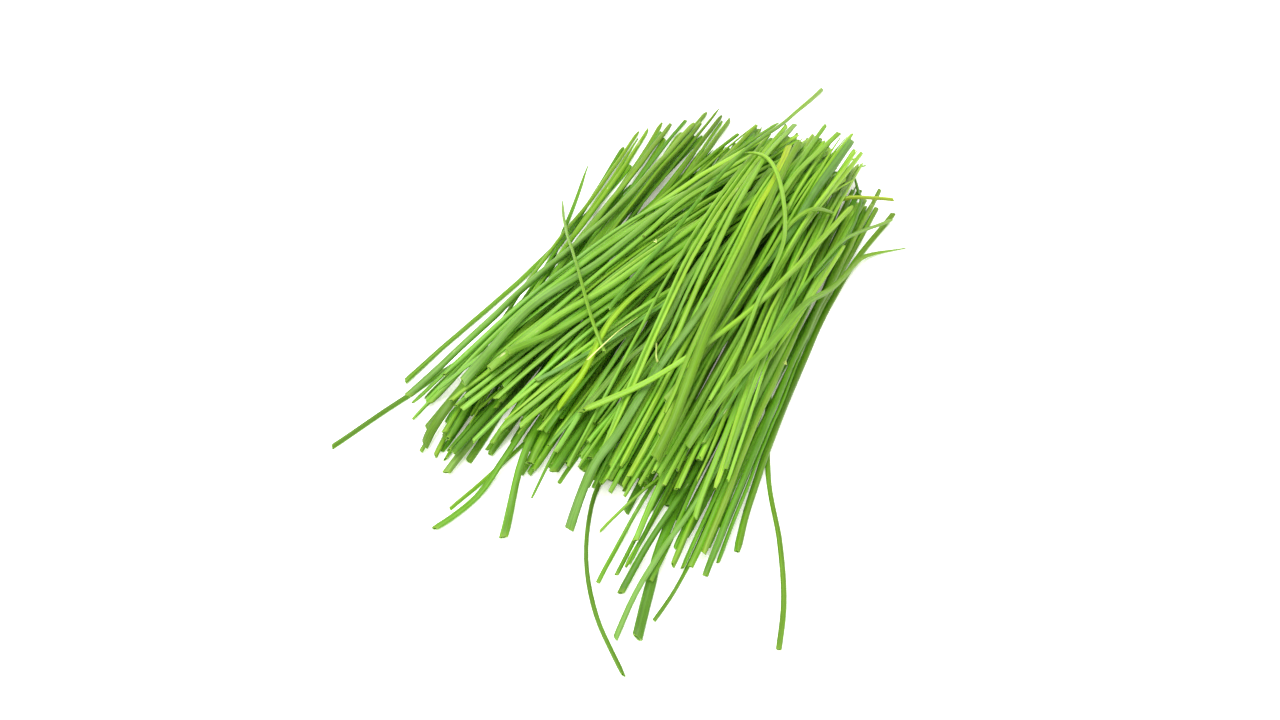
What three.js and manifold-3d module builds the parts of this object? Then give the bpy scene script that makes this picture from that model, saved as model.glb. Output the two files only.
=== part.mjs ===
// A loose bunch of cut chives lying on a flat surface, +Z up, in millimetres.
// Each chive is one round leaf, cut at its thick end and on most leaves at its thin end too. The
// leaves lie along Y with their thick ends towards -Y, and were put down one after another, each
// resting on those already there. Here they are laid in the same way.
// Leaves that fall close together make a sheaf, which is one solid: small pads join its leaves
// where they come nearest to each other. A leaf that lies apart is a solid of its own.
import * as THREE from "three";
import Module from "manifold-3d";
import { mergeVertices } from "three/addons/utils/BufferGeometryUtils.js";

// ---- Driving dimensions: millimetres, and degrees for headings ----

const LEAF_LENGTH = 158; // usual length from cut to cut
const LENGTH_SPREAD = 0.09; // share by which a leaf may be longer or shorter
const LEAF_RADIUS = 0.85; // usual radius at the thick end of a leaf near the top
const RADIUS_SPREAD = 0.42; // share by which a leaf may be thicker or thinner
const THINNEST_RADIUS = 0.42;
const BOW = 2; // how far a leaf may bow sideways from straight
const GROWN_SHARE = 0.15; // share of the leaves that still have the tip they grew
const REVERSED_SHARE = 0.12; // share of the leaves that lie the other way round
// A leaf's radius at its thin end, as a share of the thick end's, and how late it narrows.
const CUT_TIP = { share: 0.72, power: 1.2 };
const GROWN_TIP = { share: 0.4, power: 2.5 };

const LEAF_POINTS = 5; // points along a leaf of a sheaf
const SIDES = 5; // sides of a leaf's section, one of them facing down
const FLAT = Math.cos(Math.PI / SIDES); // distance of a side from the axis, in radii
const PAD_RADIUS = 0.42;
const PAD_SIDES = 3;

const AIR = 0.3; // gap left between two leaves that cross
const PROBE_STEP = 2; // distance between the places where a leaf is tried against the pile
const REACH = 9; // how far away a leaf of the pile may matter to one being laid
const SETTLING_ROUNDS = 90;
const DROP = 0.25; // how far a leaf drops in one round
const STIFFNESS = 0.05; // share of a bend up or down that springs back in one round
const SIDE_STIFFNESS = 0.5; // the same for a bend to the side
const SLIDE = 0.5; // share of a push that moves a leaf sideways
const LEAST_LIFT = 0.6; // least share of a push that goes up, so that no leaf is pressed through

const COLOURS = {
  deep_green: { color: 0x4c8f2b, roughness: 0.55 },
  mid_green: { color: 0x66a83a, roughness: 0.55 },
  blue_green: { color: 0x5c9f58, roughness: 0.6 },
  light_green: { color: 0x84c043, roughness: 0.5 },
  yellow_green: { color: 0xb4d82c, roughness: 0.5 },
};

// The bunch from the surface up, in the order in which it is laid.
// A sheaf is a count of leaves along one heading, clockwise from +Y, give or take its spread.
// Their middles lie across its width round the point at, give or take ragged along it, and
// slant moves those on its right further along. The sheaves under the rest have a radius of
// their own, because the thickest leaves slid down to the bottom.
// A leaf of its own has a path in plan, thick end first, and its radius there. A grown one still
// has its tip.
const LAYING_ORDER = [
  { name: "leaf_front_curved", colour: "deep_green", radius: 0.95,
    path: [[48, -99], [35, -89], [25, -78], [17, -64], [12, -48], [11, -20], [12, 24]] },
  { name: "leaf_right_curved", colour: "deep_green", radius: 1.05,
    path: [[81, -73], [76, -58], [67, -41], [55, -22], [44, 2], [34, 30], [27, 58]] },
  { name: "leaf_left_long", colour: "deep_green", radius: 0.95,
    path: [[-66, -75], [-54, -38], [-45, -8], [-42, 26], [-41, 66]] },
  { name: "leaf_left_second", colour: "mid_green", radius: 1.05,
    path: [[-61, -44], [-58, -23], [-54, 0], [-51, 22], [-48, 53], [-47, 81]] },
  { name: "leaf_left_thin", colour: "mid_green", radius: 0.6,
    path: [[-52, -46], [-50, -34], [-47, -8], [-43, 30], [-41, 70]] },
  { name: "leaf_far_thin", colour: "mid_green", radius: 0.8, grown: true,
    path: [[-36, -22], [-42, 4], [-47, 26], [-54, 50], [-61, 74]] },
  { name: "leaf_left_slim", colour: "mid_green", radius: 0.8,
    path: [[-22, -77], [-18, -60], [-12, -30], [-5, 4], [1, 38], [6, 66]] },
  { name: "sheaf_base_left", colour: "deep_green", count: 8, radius: 1.15,
    at: [-26, 24], heading: -4, width: 30, spread: 2, ragged: 8 },
  { name: "sheaf_base_right", colour: "deep_green", count: 9, radius: 1.15,
    at: [24, 31], heading: -4, width: 34, spread: 2, ragged: 8 },
  { name: "leaf_right_edge", colour: "deep_green", radius: 1.5,
    path: [[58, -51], [54, -31], [50, -5], [46, 30], [45, 51], [45, 73], [48, 102]] },
  { name: "leaf_front_wide", colour: "deep_green", radius: 1.9,
    path: [[46, -88], [42, -74], [38, -55], [35, -20], [35, 20], [38, 56]] },
  { name: "leaf_front_fine", colour: "deep_green", radius: 0.7,
    path: [[47, -81], [48, -68], [47, -52], [44, -20], [40, 14], [38, 46]] },
  { name: "leaf_left_low", colour: "blue_green", radius: 1.5,
    path: [[-29, -68], [-28, -50], [-26, -20], [-24, 20], [-22, 60], [-21, 84]] },
  { name: "sheaf_base_middle", colour: "mid_green", count: 9, radius: 1.15,
    at: [3, 32], heading: -2, width: 26, spread: 3, ragged: 8 },
  { name: "sheaf_right_flank", colour: "deep_green", count: 6, radius: 1.05,
    at: [42, 28], heading: -6, width: 9, spread: 2, ragged: 8 },
  { name: "leaf_front_dark", colour: "deep_green", radius: 1.2,
    path: [[35, -78], [36, -64], [37, -48], [36, -16], [33, 18], [30, 50]] },
  { name: "sheaf_front_right", colour: "mid_green", count: 11, radius: 0.95,
    at: [37, 13], heading: -5, width: 24, slant: 0.5, spread: 3, ragged: 7 },
  { name: "leaf_front_second", colour: "blue_green", radius: 1.1,
    path: [[41, -91], [40, -78], [41, -64], [43, -46], [44, -12], [43, 24], [41, 56]] },
  { name: "leaf_front_slim", colour: "mid_green", radius: 0.8,
    path: [[28, -78], [27, -64], [28, -42], [30, -8], [31, 28], [31, 64]] },
  { name: "sheaf_front_left", colour: "deep_green", count: 7, radius: 1.1,
    at: [-31, 20], heading: 3, width: 18, slant: -0.3, spread: 3, ragged: 7 },
  { name: "leaf_front_low_curve", colour: "mid_green", radius: 1.3,
    path: [[-22, -85], [-19, -77], [-17, -68], [-16, -56], [-16, -38], [-15, -10], [-13, 20],
      [-12, 52]] },
  { name: "sheaf_far_left", colour: "mid_green", count: 8, radius: 1,
    at: [-41, 22], heading: -6, width: 14, slant: 1.2, spread: 2, ragged: 6 },
  { name: "leaf_left_thick", colour: "deep_green", radius: 1.75,
    path: [[-40, -63], [-37, -52], [-35, -14], [-34, 20], [-34, 50], [-35, 84]] },
  { name: "sheaf_middle_left", colour: "mid_green", count: 9, radius: 1.15,
    at: [-8, 28], heading: -2, width: 32, spread: 3, ragged: 8 },
  { name: "sheaf_middle_right", colour: "mid_green", count: 10, radius: 1.15,
    at: [12, 36], heading: -4, width: 28, spread: 3, ragged: 8 },
  { name: "leaf_hooked", colour: "deep_green", radius: 0.6, grown: true,
    path: [[41, 40], [42, 69], [38, 92], [34, 102], [28, 113]] },
  { name: "leaf_front_thick", colour: "mid_green", radius: 1.45,
    path: [[-3, -78], [-7, -66], [-10, -54], [-13, -38], [-14, -8], [-12, 30], [-8, 66]] },
  { name: "leaf_front_thin", colour: "mid_green", radius: 0.65,
    path: [[-1, -65], [-3, -46], [-5, -20], [-5, 12], [-3, 44], [0, 72]] },
  { name: "leaf_front_crossing", colour: "light_green", radius: 0.6,
    path: [[20, -63], [27, -48], [36, -26], [42, 0], [44, 30], [43, 62]] },
  { name: "leaf_front_lime", colour: "light_green", radius: 1.1,
    path: [[33, -65], [31, -49], [30, -34], [29, -4], [26, 30], [24, 64]] },
  { name: "sheaf_upper_far", colour: "deep_green", count: 11,
    at: [-20, 38], heading: -3, width: 34, spread: 4, ragged: 9 },
  { name: "sheaf_upper_middle", colour: "blue_green", count: 20,
    at: [5, 34], heading: 3, width: 34, spread: 4, ragged: 10 },
  { name: "leaf_yellow_curved", colour: "yellow_green", radius: 0.75,
    path: [[4, 6], [12, 42], [21, 76], [28, 86], [34, 90], [48, 99]] },
  { name: "leaf_wilted_green", colour: "mid_green", radius: 0.8, grown: true,
    path: [[25, 34], [22, 64], [22, 87], [25, 110], [30, 122]] },
  { name: "leaf_wilted_yellow", colour: "yellow_green", radius: 0.5, grown: true,
    path: [[33, 52], [30, 83], [27, 95], [24, 112], [25, 124]] },
  { name: "sheaf_upper_left", colour: "mid_green", count: 15,
    at: [-12, 32], heading: 8, width: 30, spread: 5, ragged: 10 },
  { name: "sheaf_upper_right", colour: "light_green", count: 16,
    at: [27, 33], heading: -7, width: 30, spread: 4, ragged: 8 },
  { name: "sheaf_diagonal", colour: "blue_green", count: 18,
    at: [-8, 26], heading: 18, width: 38, spread: 3, ragged: 10 },
  { name: "leaf_left_blue", colour: "blue_green", radius: 1.4,
    path: [[-54, -51], [-47, -26], [-42, 6], [-36, 32], [-33, 61], [-33, 105]] },
  { name: "leaf_left_pale", colour: "blue_green", radius: 1.6,
    path: [[-35, -47], [-32, -13], [-23, 10], [-15, 39], [-4, 81]] },
  { name: "leaf_left_bright", colour: "light_green", radius: 1.05,
    path: [[-30, -40], [-24, -9], [-16, 20], [-9, 53], [0, 81]] },
  { name: "leaf_left_blunt", colour: "light_green", radius: 1.5,
    path: [[-29, -41], [-22, -17], [-12, 4], [-3, 30], [5, 66]] },
  { name: "leaf_diagonal", colour: "mid_green", radius: 1.3,
    path: [[-26, -35], [-18, -18], [-9, 3], [1, 33], [8, 66]] },
  { name: "leaf_middle_slim", colour: "blue_green", radius: 0.85,
    path: [[-16, -36], [-7, -22], [1, -2], [8, 19], [14, 54], [20, 82]] },
  { name: "leaf_middle_blue", colour: "blue_green", radius: 1.2,
    path: [[0, -38], [2, -13], [7, 0], [8, 18], [8, 44], [9, 78]] },
  { name: "leaf_yellow_top", colour: "yellow_green", radius: 1.35,
    path: [[-7, -39], [-4, -28], [-5, -8], [-2, 14], [4, 34], [10, 55], [14, 86]] },
  { name: "sheaf_top", colour: "light_green", count: 20,
    at: [18, 28], heading: -2, width: 32, spread: 6, ragged: 8 },
  { name: "leaf_wide_pale", colour: "blue_green", radius: 1.8,
    path: [[13, -68], [13, -54], [14, -41], [14, -20], [16, 2], [19, 29], [22, 62]] },
  { name: "leaf_right_lime", colour: "light_green", radius: 1.1,
    path: [[22, 108], [19, 83], [19, 63], [21, 41], [22, 22], [23, -8], [25, -36]] },
  { name: "leaf_right_pale", colour: "blue_green", radius: 1.6,
    path: [[27, 108], [27, 77], [27, 52], [25, 30], [25, 5], [22, -26]] },
  { name: "leaf_right_thin", colour: "mid_green", radius: 0.65,
    path: [[38, -34], [41, 1], [40, 23], [41, 45], [43, 65], [49, 97]] },
  { name: "leaf_right_bent", colour: "mid_green", radius: 0.75,
    path: [[24, -26], [26, 13], [26, 36], [26, 53], [30, 62], [34, 74]] },
  { name: "leaf_right_arc", colour: "mid_green", radius: 1.5, grown: true,
    path: [[34, -36], [37, -19], [42, -2], [45, 19], [47, 46], [47, 75], [58, 88]] },
  { name: "leaf_crossing_pale", colour: "light_green", radius: 1.15,
    path: [[1, -38], [13, -25], [23, -12], [32, 18], [36, 50], [37, 86]] },
  { name: "leaf_yellow_narrow", colour: "yellow_green", radius: 1.3,
    path: [[9, 94], [14, 69], [15, 51], [17, 36], [22, -2], [26, -34]] },
  { name: "leaf_middle_wide", colour: "light_green", radius: 1.85,
    path: [[29, -46], [29, -33], [25, -6], [21, 30], [14, 89]] },
  { name: "leaf_arched", colour: "light_green", radius: 0.8, grown: true,
    path: [[35, -24], [34, 0], [32, 16], [30, 31], [27, 47], [20, 60], [11, 71], [3, 77],
      [-4, 79]] },
  { name: "leaf_crossing_thin", colour: "mid_green", radius: 0.65, grown: true,
    path: [[-1, -21], [-10, -13], [-25, 5], [-44, 29], [-60, 53]] },
  { name: "leaf_far_stray", colour: "mid_green", radius: 0.8,
    path: [[-8, -6], [-4, 32], [-1, 72], [0, 112], [-2, 156]] },
];

// ---- Seeded random draws ----

let seed = 30;
const random = () => {
  seed = (Math.imul(seed, 1664525) + 1013904223) >>> 0;
  return seed / 2 ** 32;
};
const jitter = () => random() + random() - 1; // -1 to 1, mostly near 0

// ---- Leaves as they are dropped: points in plan, and a radius at each ----

const GOLDEN_SHARE = (Math.sqrt(5) - 1) / 2; // spreads leaves evenly across a width, in mixed order

function radiiAlong(count, radius, tip) {
  return Array.from({ length: count }, (_, k) => {
    const t = k / (count - 1);
    return Math.max(THINNEST_RADIUS, radius * (1 + (tip.share - 1) * t ** tip.power));
  });
}

function lonelyLeaf({ path, radius, grown }) {
  const points = path.map(([x, y]) => ({ x, y, z: 0 }));
  const radii = radiiAlong(points.length, radius, grown ? GROWN_TIP : CUT_TIP);
  return { points, radii, slide: 0 };
}

function sheafLeaf(sheaf, index) {
  const turn = THREE.MathUtils.degToRad(sheaf.heading);
  const across = (((index + 1) * GOLDEN_SHARE) % 1 - 0.5) * sheaf.width;
  const along = sheaf.ragged * jitter() + (sheaf.slant ?? 0) * across;
  const heading = turn + THREE.MathUtils.degToRad(sheaf.spread) * jitter();
  const length = LEAF_LENGTH * (1 + LENGTH_SPREAD * jitter());
  const bow = BOW * jitter();
  const radius = (sheaf.radius ?? LEAF_RADIUS) * (1 + RADIUS_SPREAD * jitter());
  const tip = random() < GROWN_SHARE ? GROWN_TIP : CUT_TIP;
  const reversed = random() < REVERSED_SHARE;
  const middle = [
    sheaf.at[0] + Math.cos(turn) * across + Math.sin(turn) * along,
    sheaf.at[1] - Math.sin(turn) * across + Math.cos(turn) * along,
  ];
  const points = Array.from({ length: LEAF_POINTS }, (_, k) => {
    const t = (2 * k) / (LEAF_POINTS - 1) - 1;
    const forward = (t * length) / 2;
    const aside = bow * (1 - t * t);
    return {
      x: middle[0] + Math.sin(heading) * forward + Math.cos(heading) * aside,
      y: middle[1] + Math.cos(heading) * forward - Math.sin(heading) * aside,
      z: 0,
    };
  });
  if (reversed) points.reverse();
  return { points, radii: radiiAlong(LEAF_POINTS, radius, tip), slide: SLIDE };
}

// ---- Laying the leaves on each other ----

// The places where a leaf is tried: a share f of the way from its point k to the next. A push
// there moves the two points by these shares of it, which together move the place by all of it.
function probesOf({ points, radii }) {
  const probes = [];
  for (let k = 0; k + 1 < points.length; k++) {
    const [from, to] = [points[k], points[k + 1]];
    const steps = Math.ceil(Math.hypot(to.x - from.x, to.y - from.y) / PROBE_STEP);
    for (let i = 0; i <= steps; i++) {
      const f = i / steps;
      const both = (1 - f) ** 2 + f ** 2;
      const radius = radii[k] * (1 - f) + radii[k + 1] * f;
      probes.push({ k, f, radius, shares: [(1 - f) / both, f / both] });
    }
  }
  return probes;
}

function placeOf(points, { k, f }) {
  const [a, b] = [points[k], points[k + 1]];
  return { x: a.x + (b.x - a.x) * f, y: a.y + (b.y - a.y) * f, z: a.z + (b.z - a.z) * f };
}

// The height that a leaf's axis needs at a place to clear the surface and the spans near it.
function heightNeeded({ x, y }, { radius, near }) {
  let height = radius * FLAT;
  for (const span of near) {
    const t = ((x - span.x) * span.dx + (y - span.y) * span.dy) / (span.dx ** 2 + span.dy ** 2);
    const s = Math.min(1, Math.max(0, t));
    const reach = radius + span.radius + span.dr * s + AIR;
    const apart = (x - span.x - span.dx * s) ** 2 + (y - span.y - span.dy * s) ** 2;
    if (apart < reach ** 2) {
      height = Math.max(height, span.z + span.dz * s + Math.sqrt(reach ** 2 - apart));
    }
  }
  return height;
}

// How far a leaf is pushed up and across at a place by the surface and the spans that it touches.
function pushAt({ x, y, z }, { radius, near }, across) {
  let up = Math.max(0, radius * FLAT - z);
  let aside = 0;
  let touching = 0;
  for (const span of near) {
    const along = (x - span.x) * span.dx + (y - span.y) * span.dy + (z - span.z) * span.dz;
    const s = Math.min(1, Math.max(0, along / (span.dx ** 2 + span.dy ** 2 + span.dz ** 2)));
    const gap = [x - span.x - span.dx * s, y - span.y - span.dy * s, z - span.z - span.dz * s];
    const apart = Math.sqrt(gap[0] ** 2 + gap[1] ** 2 + gap[2] ** 2);
    const push = radius + span.radius + span.dr * s + AIR - apart;
    if (push > 0 && apart > 0) {
      up = Math.max(up, push * Math.max(Math.abs(gap[2]) / apart, LEAST_LIFT));
      aside += (push * (gap[0] * across.x + gap[1] * across.y)) / apart;
      touching += 1;
    }
  }
  return { up, aside: touching ? aside / touching : 0, touching };
}

// Lifts a leaf's points until it is higher by at least the given amount at each of its places.
function lift(points, probes, amounts) {
  const lifts = points.map(() => 0);
  probes.forEach(({ k, shares }, i) => {
    lifts[k] = Math.max(lifts[k], amounts[i] * shares[0]);
    lifts[k + 1] = Math.max(lifts[k + 1], amounts[i] * shares[1]);
  });
  points.forEach((point, k) => { point.z += lifts[k]; });
}

function liftClear(points, probes) {
  const short = (probe) => {
    const place = placeOf(points, probe);
    return Math.max(0, heightNeeded(place, probe) - place.z);
  };
  lift(points, probes, probes.map(short));
}

// Lowers each of a leaf's points in turn, by one drop at most, until a place beside it touches.
function touchDown(points, probes) {
  for (let k = 0; k < points.length; k++) {
    let room = DROP;
    for (const probe of probes) {
      const weight = probe.k === k ? 1 - probe.f : probe.k + 1 === k ? probe.f : 0;
      if (weight > 0) {
        const place = placeOf(points, probe);
        room = Math.min(room, (place.z - heightNeeded(place, probe)) / weight);
      }
    }
    points[k].z -= Math.max(0, room);
  }
}

// Moves a leaf's points across by the mean of the pushes at the places near each.
function slideAcross(points, probes, pushes, across, slide) {
  const moved = points.map(() => ({ sum: 0, weight: 0 }));
  probes.forEach(({ k, f }, i) => {
    if (!pushes[i].touching) return;
    for (const [point, weight] of [[k, 1 - f], [k + 1, f]]) {
      moved[point].sum += pushes[i].aside * weight;
      moved[point].weight += weight;
    }
  });
  points.forEach((point, k) => {
    if (!moved[k].weight) return;
    const distance = (slide * moved[k].sum) / moved[k].weight;
    point.x += across.x * distance;
    point.y += across.y * distance;
  });
}

// Springs a leaf back, by a share, towards the shape in which it was dropped.
function springBack(points, dropped) {
  for (let k = 1; k + 1 < points.length; k++) {
    for (const axis of ["x", "y", "z"]) {
      const off = (i) => points[i][axis] - dropped[i][axis];
      const share = axis === "z" ? STIFFNESS : SIDE_STIFFNESS;
      const bend = share * (off(k) - (off(k - 1) + off(k + 1)) / 2);
      points[k][axis] -= bend;
      points[k - 1][axis] += bend / 2;
      points[k + 1][axis] += bend / 2;
    }
  }
}

// Lays a leaf on the pile, and adds its spans to the pile.
function layDown(leaf, pile) {
  const { points, radii, slide } = leaf;
  const dropped = points.map((point) => ({ ...point }));
  const probes = probesOf(leaf);
  for (const probe of probes) {
    const { x, y } = placeOf(points, probe);
    probe.near = pile.filter((span) => {
      const t = ((x - span.x) * span.dx + (y - span.y) * span.dy) / (span.dx ** 2 + span.dy ** 2);
      const s = Math.min(1, Math.max(0, t));
      return (x - span.x - span.dx * s) ** 2 + (y - span.y - span.dy * s) ** 2 < REACH ** 2;
    });
  }
  const [first, last] = [points[0], points[points.length - 1]];
  const chord = Math.hypot(last.x - first.x, last.y - first.y);
  const across = { x: (last.y - first.y) / chord, y: (first.x - last.x) / chord };
  liftClear(points, probes);
  for (let round = 0; round < SETTLING_ROUNDS; round++) {
    for (const point of points) point.z -= DROP;
    springBack(points, dropped);
    const pushes = probes.map((probe) => pushAt(placeOf(points, probe), probe, across));
    lift(points, probes, pushes.map(({ up }) => up));
    slideAcross(points, probes, pushes, across, slide);
  }
  liftClear(points, probes);
  touchDown(points, probes);
  for (let k = 0; k + 1 < points.length; k++) {
    const [{ x, y, z }, to] = [points[k], points[k + 1]];
    pile.push({
      x, y, z, dx: to.x - x, dy: to.y - y, dz: to.z - z,
      radius: radii[k], dr: radii[k + 1] - radii[k],
    });
  }
}

// ---- Solids ----

const wasm = await Module();
wasm.setup();

function solidOf(geometry) {
  geometry.deleteAttribute("normal");
  geometry.deleteAttribute("uv");
  const merged = mergeVertices(geometry);
  return new wasm.Manifold(new wasm.Mesh({
    numProp: 3,
    vertProperties: merged.attributes.position.array,
    triVerts: new Uint32Array(merged.index.array),
  }));
}

const UP = new THREE.Vector3(0, 0, 1);

// A prism of unit length and radius, extruded in as many steps as the line has spans and then
// bent on to the line, with one side of its section facing down.
function prismAlong(line, radii, sides) {
  const corners = Array.from({ length: sides }, (_, i) => {
    const angle = (2 * Math.PI * (i + 0.5)) / sides - Math.PI / 2;
    return new THREE.Vector2(Math.cos(angle), Math.sin(angle));
  });
  const steps = line.length - 1;
  const shape = new THREE.Shape(corners);
  const geometry = new THREE.ExtrudeGeometry(shape, { depth: 1, steps, bevelEnabled: false });
  const rings = line.map((point, k) => {
    const [before, after] = [line[Math.max(k - 1, 0)], line[Math.min(k + 1, steps)]];
    const along = new THREE.Vector3().subVectors(after, before).normalize();
    const side = new THREE.Vector3().crossVectors(UP, along).normalize();
    return { point, side, up: new THREE.Vector3().crossVectors(along, side), radius: radii[k] };
  });
  const position = geometry.attributes.position;
  for (let i = 0; i < position.count; i++) {
    const { point, side, up, radius } = rings[Math.round(position.getZ(i) * steps)];
    const corner = point.clone()
      .addScaledVector(side, position.getX(i) * radius)
      .addScaledVector(up, position.getY(i) * radius);
    position.setXYZ(i, corner.x, corner.y, corner.z);
  }
  return solidOf(geometry);
}

// The places where two leaves' axes come nearest to each other, and the gap between them there.
function nearest(a, b) {
  let best = { gap: Infinity };
  for (let i = 0; i + 1 < a.line.length; i++) {
    for (let j = 0; j + 1 < b.line.length; j++) {
      const [from, to] = [new THREE.Vector3(), new THREE.Vector3()];
      const span = new THREE.Line3(b.line[j], b.line[j + 1]);
      const squared = new THREE.Line3(a.line[i], a.line[i + 1]).distanceSqToLine3(span, from, to);
      const gap = Math.sqrt(squared) - a.radii[i] - b.radii[j];
      if (gap < best.gap) best = { gap, from, to };
    }
  }
  return best;
}

// Leaves, and the pads that join each to its nearest neighbour, as one solid.
function joined(leaves) {
  let solid = prismAlong(leaves[0].line, leaves[0].radii, SIDES);
  const done = [leaves[0]];
  const waiting = new Map(leaves.slice(1).map((leaf) => [leaf, { gap: Infinity }]));
  while (waiting.size) {
    const newest = done[done.length - 1];
    for (const [leaf, known] of waiting) {
      const found = nearest(leaf, newest);
      if (found.gap < known.gap) waiting.set(leaf, found);
    }
    const [leaf, place] = [...waiting].reduce((a, b) => (b[1].gap < a[1].gap ? b : a));
    const pad = prismAlong([place.from, place.to], [PAD_RADIUS, PAD_RADIUS], PAD_SIDES);
    solid = solid.add(prismAlong(leaf.line, leaf.radii, SIDES)).add(pad);
    waiting.delete(leaf);
    done.push(leaf);
  }
  return solid;
}

// ---- The bunch ----

function layRow(row, pile) {
  const leaves = [];
  for (let i = 0; i < (row.count ?? 1); i++) {
    const leaf = row.path ? lonelyLeaf(row) : sheafLeaf(row, i);
    layDown(leaf, pile);
    leaf.line = leaf.points.map(({ x, y, z }) => new THREE.Vector3(x, y, z));
    leaves.push(leaf);
  }
  const { vertProperties, triVerts } = joined(leaves).getMesh();
  const geometry = new THREE.BufferGeometry();
  geometry.setAttribute("position", new THREE.BufferAttribute(vertProperties, 3));
  geometry.setIndex(new THREE.BufferAttribute(triVerts, 1));
  const finish = { ...COLOURS[row.colour], metalness: 0 };
  const mesh = new THREE.Mesh(geometry, new THREE.MeshStandardMaterial(finish));
  mesh.name = row.name;
  return mesh;
}

const bunch = new THREE.Group();
const pile = [];
for (const row of LAYING_ORDER) bunch.add(layRow(row, pile));

// The origin is the middle of the bunch's footprint, on the surface.
const middle = new THREE.Box3().setFromObject(bunch).getCenter(new THREE.Vector3());
bunch.position.set(-middle.x, -middle.y, 0);

export default bunch;
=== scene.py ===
# A loose bunch of cut chives on a pale surface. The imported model's leaves are plain five-sided bars.
# Here each becomes a hollow leaf with ribs, wax bloom and cut ends, laid by the same rule.
import math

import bpy
import numpy as np
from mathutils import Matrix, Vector


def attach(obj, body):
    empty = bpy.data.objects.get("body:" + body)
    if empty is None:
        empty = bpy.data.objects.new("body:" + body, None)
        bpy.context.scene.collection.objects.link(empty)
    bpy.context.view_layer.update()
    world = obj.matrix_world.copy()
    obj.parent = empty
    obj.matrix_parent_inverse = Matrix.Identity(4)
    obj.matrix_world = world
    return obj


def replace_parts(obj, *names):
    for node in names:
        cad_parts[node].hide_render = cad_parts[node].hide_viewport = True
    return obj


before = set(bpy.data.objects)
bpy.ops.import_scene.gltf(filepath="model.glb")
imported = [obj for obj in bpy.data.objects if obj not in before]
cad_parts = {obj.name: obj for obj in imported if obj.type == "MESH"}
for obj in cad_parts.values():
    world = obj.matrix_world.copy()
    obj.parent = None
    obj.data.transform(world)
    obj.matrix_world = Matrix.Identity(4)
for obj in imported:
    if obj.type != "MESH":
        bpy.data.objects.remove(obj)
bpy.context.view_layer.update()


# ---- The strays that the bunch lies on ----
# Single chive leaves, each a hollow tube of soft green tissue under a thin skin with a dull wax
# bloom. They were put down first, so they lie flat on the surface, and reach out from under the
# bunch. All that lays, shapes and colours any leaf is defined here, with the first of them.

MM = 0.001
AIR = 0.3  # gap left between two leaves that cross, in mm, as are all sizes of the laying
PROBE_STEP = 2  # distance between the places where a leaf is tried against the pile
REACH = 9  # how far away a leaf of the pile may matter to one being laid
SETTLING_ROUNDS = 90
DROP = 0.25  # how far a leaf drops in one round
STIFFNESS = np.array([0.5, 0.5, 0.05])  # share of a bend across or up that springs back in one round
LEAST_LIFT = 0.6  # least share of a push that goes up
LOWEST = math.cos(math.pi / 5)  # height of a leaf's axis above the surface, in radii
THINNEST_RADIUS = 0.42
CUT_TIP = {"share": 0.72, "power": 1.2}  # radius at the thin end, as a share of the thick end's
GROWN_TIP = {"share": 0.4, "power": 2.5}


def radii_along(count, radius, tip):
    place = np.arange(count) / (count - 1)
    return np.maximum(THINNEST_RADIUS, radius * (1 + (tip["share"] - 1) * place ** tip["power"]))


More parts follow.
